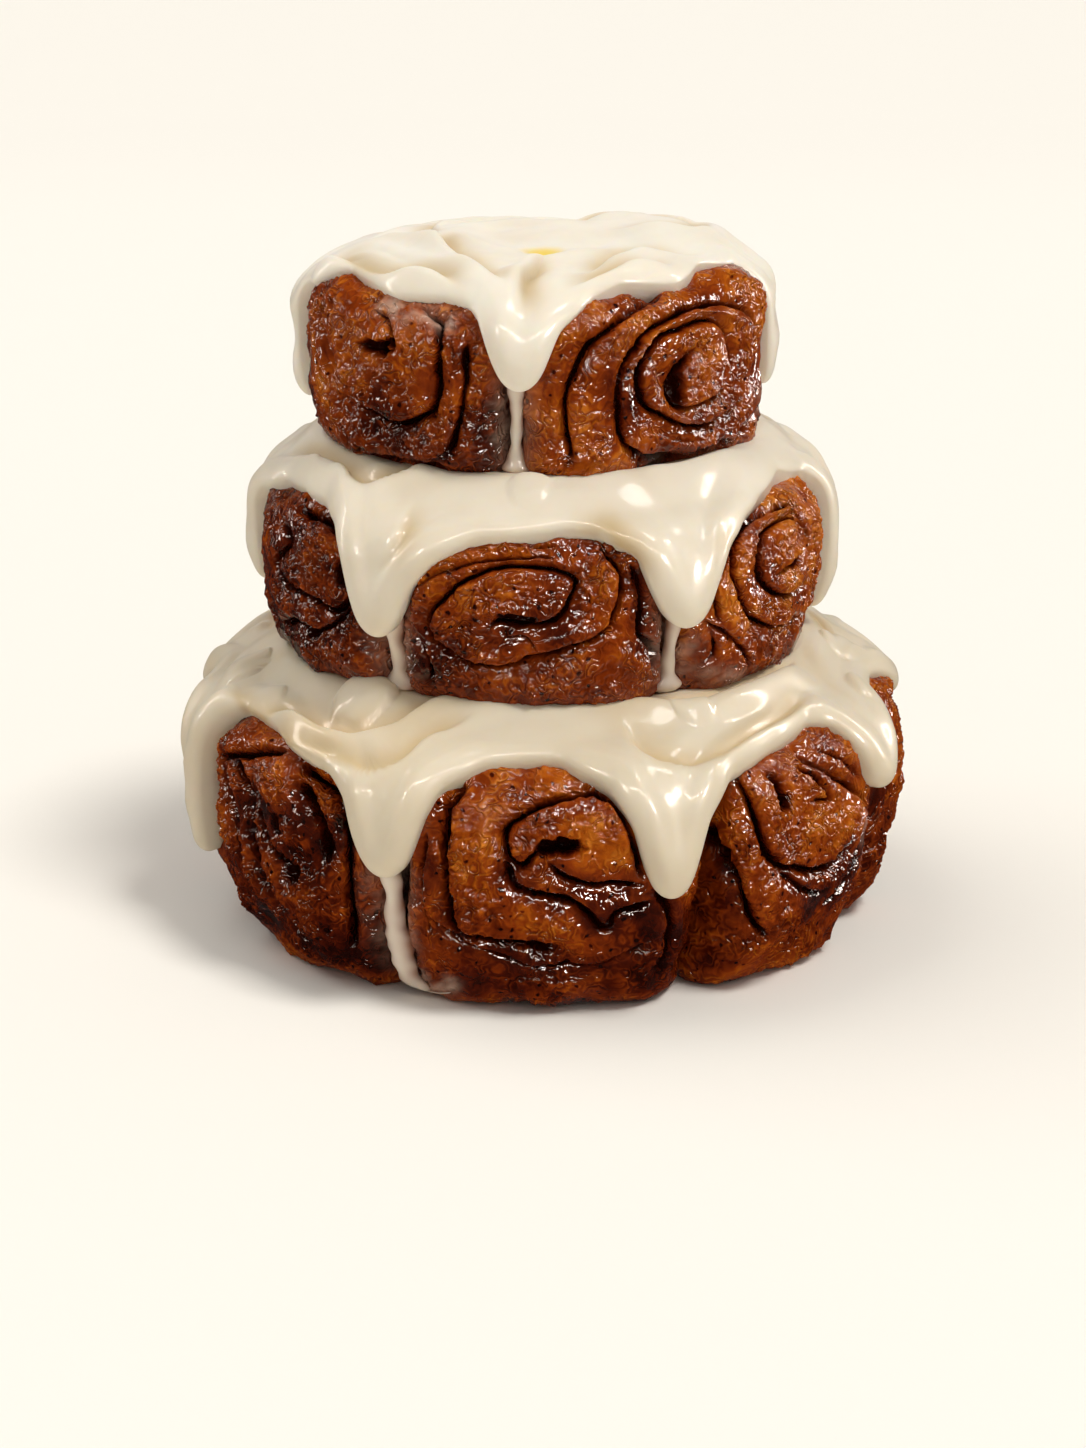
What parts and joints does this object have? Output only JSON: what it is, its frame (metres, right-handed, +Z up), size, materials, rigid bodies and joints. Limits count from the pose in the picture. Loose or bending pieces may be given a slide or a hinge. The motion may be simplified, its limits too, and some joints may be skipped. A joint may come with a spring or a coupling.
{
  "type": "celebration cake",
  "caption": "Tiered celebration cake of cinnamon rolls standing on edge, with poured cream icing that covers each tier and runs down its side in drips.",
  "frame": {"origin": "middle of the cake's underside, on the surface it stands on", "axes": "+Z up through the tiers, -Y towards the side that the picture shows, +X to the viewer's right"},
  "size_m": [0.2132, 0.2128, 0.2065],
  "materials": {
    "dough": "baked dough, leathery and wrinkled, under a sticky clear glaze",
    "icing": "poured cream icing, soft and slightly glossy"
  },
  "bodies": {
    "root": {"roll_base_1": "dough", "roll_base_2": "dough", "roll_base_3": "dough", "roll_base_4": "dough", "roll_base_5": "dough", "roll_base_6": "dough", "roll_base_7": "dough", "roll_middle_1": "dough", "roll_middle_2": "dough", "roll_middle_3": "dough", "roll_middle_4": "dough", "roll_middle_5": "dough", "roll_middle_6": "dough", "roll_top_1": "dough", "roll_top_2": "dough", "roll_top_3": "dough", "roll_top_4": "dough", "icing_base": "icing", "icing_middle": "icing", "icing_top": "icing"}
  },
  "joints": []
}
